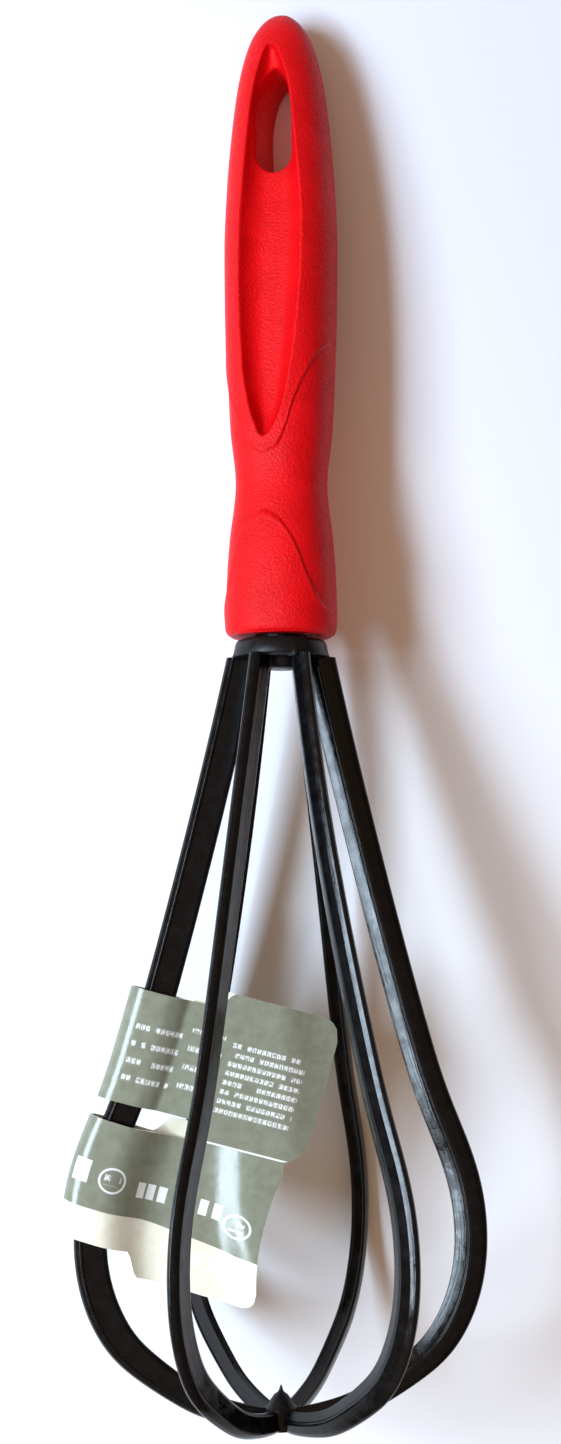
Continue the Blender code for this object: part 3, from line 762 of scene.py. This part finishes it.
def build_leaf(leaf, mat):
    """One folded card: two sheets of points, joined by its white cut edge."""
    name, top, bottom, reach, step, step_at, slant, level = leaf
    _, nominal, lean = TINES[-1]
    section = tag_section(reach, level, TAG_SAG[name], TAG_NECK[name], TAG_CREASE[name])
    run = Vector((math.cos(math.radians(slant)), -math.sin(math.radians(slant)), 0))
    rows = 36
    columns, marks, limits, travelled = ([], []), [], [], 0.0
    for i, (outwards, height) in enumerate(section):
        before, after = section[max(i - 1, 0)], section[min(i + 1, len(section) - 1)]
        if i:
            travelled += math.dist(section[i - 1], section[i])
        marks.append(travelled)
        along = Vector((after[0] - before[0], after[1] - before[1])).normalized()
        normal = (along.y, -along.x)
        rise_at = TAG_RISE_FRONT[name] if i < len(section) // 2 else TAG_RISE_BACK
        high, low = leaf_limits(outwards, reach, top, bottom, step, step_at, rise_at)
        limits.append((low, high))
        for grid, offset in zip(columns, (CARD / 2, -CARD / 2)):
            column = []
            for k in range(rows + 1):
                station = low + (high - low) * k / rows
                centre = tine_centre(nominal, lean, station)
                late = TAG_TWIST * (top + bottom - 2 * station) / 2
                past = outwards - TAG_RISE_AT
                turned = smooth((past - late) / 11) - smooth(past / 11)
                turned *= TAG_SAG[name] * smooth((outwards - 9) / 6)
                place = centre + run * (outwards + normal[0] * offset) + Vector((0, 0, turned))
                column.append(place + Vector((0, 0, height + normal[1] * offset)))
            grid.append(column)
    # in which of the two grids is the outer, printed side
    sample = columns[0][2][rows // 2] - columns[1][2][rows // 2]
    printed = 0 if sample.z > 0 else 1
    verts, uvs, faces = [], [], []
    width, length = len(section), rows + 1
    for which in (0, 1):
        for i, column in enumerate(columns[which]):
            low, high = limits[i]
            for k, point in enumerate(column):
                verts.append(point)
                station = low + (high - low) * k / rows
                uvs.append((marks[i] + (0.0 if which == printed else BACK_U), station - bottom + step))
    half = width * length
    rim = []
    for i in range(width - 1):
        for k in range(rows):
            a, b = i * length + k, i * length + k + 1
            d, c = a + length, b + length
            faces.append((a, b, c, d))
            faces.append((half + d, half + c, half + b, half + a))
        for k in (0, rows):
            a, b = i * length + k, (i + 1) * length + k
            rim.append(len(faces))
            faces.append((a, b, half + b, half + a) if k == 0 else (half + a, half + b, b, a))
    for i in (0, width - 1):
        for k in range(rows):
            a, b = i * length + k, i * length + k + 1
            rim.append(len(faces))
            faces.append((half + a, half + b, b, a) if i == 0 else (a, b, half + b, half + a))
    card = make(name.replace("tag", "card"), verts, faces, mat, uvs, 40)
    for index in rim:
        for corner in card.data.polygons[index].loop_indices:
            card.data.uv_layers[0].data[corner].uv = (CUT_EDGE_U, 0.0)
    return outward(card)


for leaf in TAG_LEAVES:
    card = build_leaf(leaf, card_print(leaf[0] + "_print", leaf[0] == "tag_upper"))
    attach(card, "tag")
    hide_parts(leaf[0])


# ---- floor, light and camera ---------------------------------------------------------------------
def build_floor():
    mesh = bpy.data.meshes.new("floor")
    size, steps, level = 1.6, 8, -0.00005
    row = steps + 1
    verts = [(size * (i / steps - 0.5) * 2, size * (j / steps - 0.5) * 2, level)
             for j in range(row) for i in range(row)]
    faces = [(j * row + i, j * row + i + 1, (j + 1) * row + i + 1, (j + 1) * row + i)
             for j in range(steps) for i in range(steps)]
    mesh.from_pydata(verts, [], faces)
    floor = bpy.data.objects.new("floor", mesh)
    bpy.context.scene.collection.objects.link(floor)
    mesh.materials.append(paper_floor())


def area_light(name, place, target, size, power, color):
    """Rectangular lamp at a place, turned towards a target; metres and watts."""
    data = bpy.data.lights.new(name, "AREA")
    data.shape = "RECTANGLE"
    data.size, data.size_y = size
    data.energy = power
    data.color = color
    lamp = bpy.data.objects.new(name, data)
    bpy.context.scene.collection.objects.link(lamp)
    lamp.location = place
    lamp.rotation_euler = (Vector(target) - Vector(place)).to_track_quat("-Z", "Y").to_euler()


def map_range(tree, value, low, high, to_low, to_high):
    """Map Range node of the world's tree, linear and clamped."""
    made = tree.nodes.new("ShaderNodeMapRange")
    for key, number in (("From Min", low), ("From Max", high), ("To Min", to_low), ("To Max", to_high)):
        made.inputs[key].default_value = number
    tree.links.new(value, made.inputs["Value"])
    return made.outputs[0]


def build_world():
    """Warm room light, stronger overhead than near the horizon and weaker from the right."""
    world = bpy.data.worlds.new("room")
    bpy.context.scene.world = world
    world.use_nodes = True
    tree = world.node_tree
    background = tree.nodes["Background"]
    background.inputs["Color"].default_value = (1.0, 0.66, 0.44, 1.0)
    direction = tree.nodes.new("ShaderNodeTexCoord").outputs["Generated"]
    split = tree.nodes.new("ShaderNodeSeparateXYZ")
    tree.links.new(direction, split.inputs[0])
    strength = tree.nodes.new("ShaderNodeMath")
    strength.operation = "MULTIPLY"
    tree.links.new(map_range(tree, split.outputs["Z"], 0.0, 0.7, 0.10, 0.58), strength.inputs[0])
    tree.links.new(map_range(tree, split.outputs["X"], -0.4, 0.6, 1.15, 0.5), strength.inputs[1])
    tree.links.new(strength.outputs[0], background.inputs["Strength"])


build_floor()
area_light("window", (-0.52, 0.03, 0.55), (0, 0, 0), (0.34, 0.26), 8.1, (0.66, 0.825, 1.0))
area_light("skylight", (-0.485, -0.24, 0.65), (0, -0.05, 0), (0.2, 0.085), 2.1, (0.68, 0.85, 1.0))
build_world()

FOCAL, LONG_SIDE = 1700.0, 1444.0                        # of the lens and the frame, in the same unit
TIP_SEEN = Vector((0.0929, -130.068, -315.937)) * MM     # the tip in the camera's own axes
AXIS_SEEN = Vector((0.0, 0.996267, -0.086320))           # the whisk's axis in them
TURN = math.radians(2.381)                               # how far the whisk is rolled about it
square = Vector((0.0, 0.086320, 0.996267))
sideways = Vector((1.0, 0.0, 0.0))
local_x = sideways * math.cos(TURN) - square * math.sin(TURN)
local_z = square * math.cos(TURN) + sideways * math.sin(TURN)
seen = Matrix((local_x, AXIS_SEEN, local_z)).transposed()
stand = Matrix.Translation(seen.transposed() @ -TIP_SEEN) @ seen.transposed().to_4x4()

data = bpy.data.cameras.new("camera")
data.sensor_width = 36.0
data.sensor_fit = "AUTO"
data.lens = FOCAL / LONG_SIDE * 36.0
data.clip_start = 0.01
camera = bpy.data.objects.new("camera", data)
bpy.context.scene.collection.objects.link(camera)
camera.matrix_world = LAY @ stand
bpy.context.scene.camera = camera
bpy.context.scene.view_settings.view_transform = "Standard"
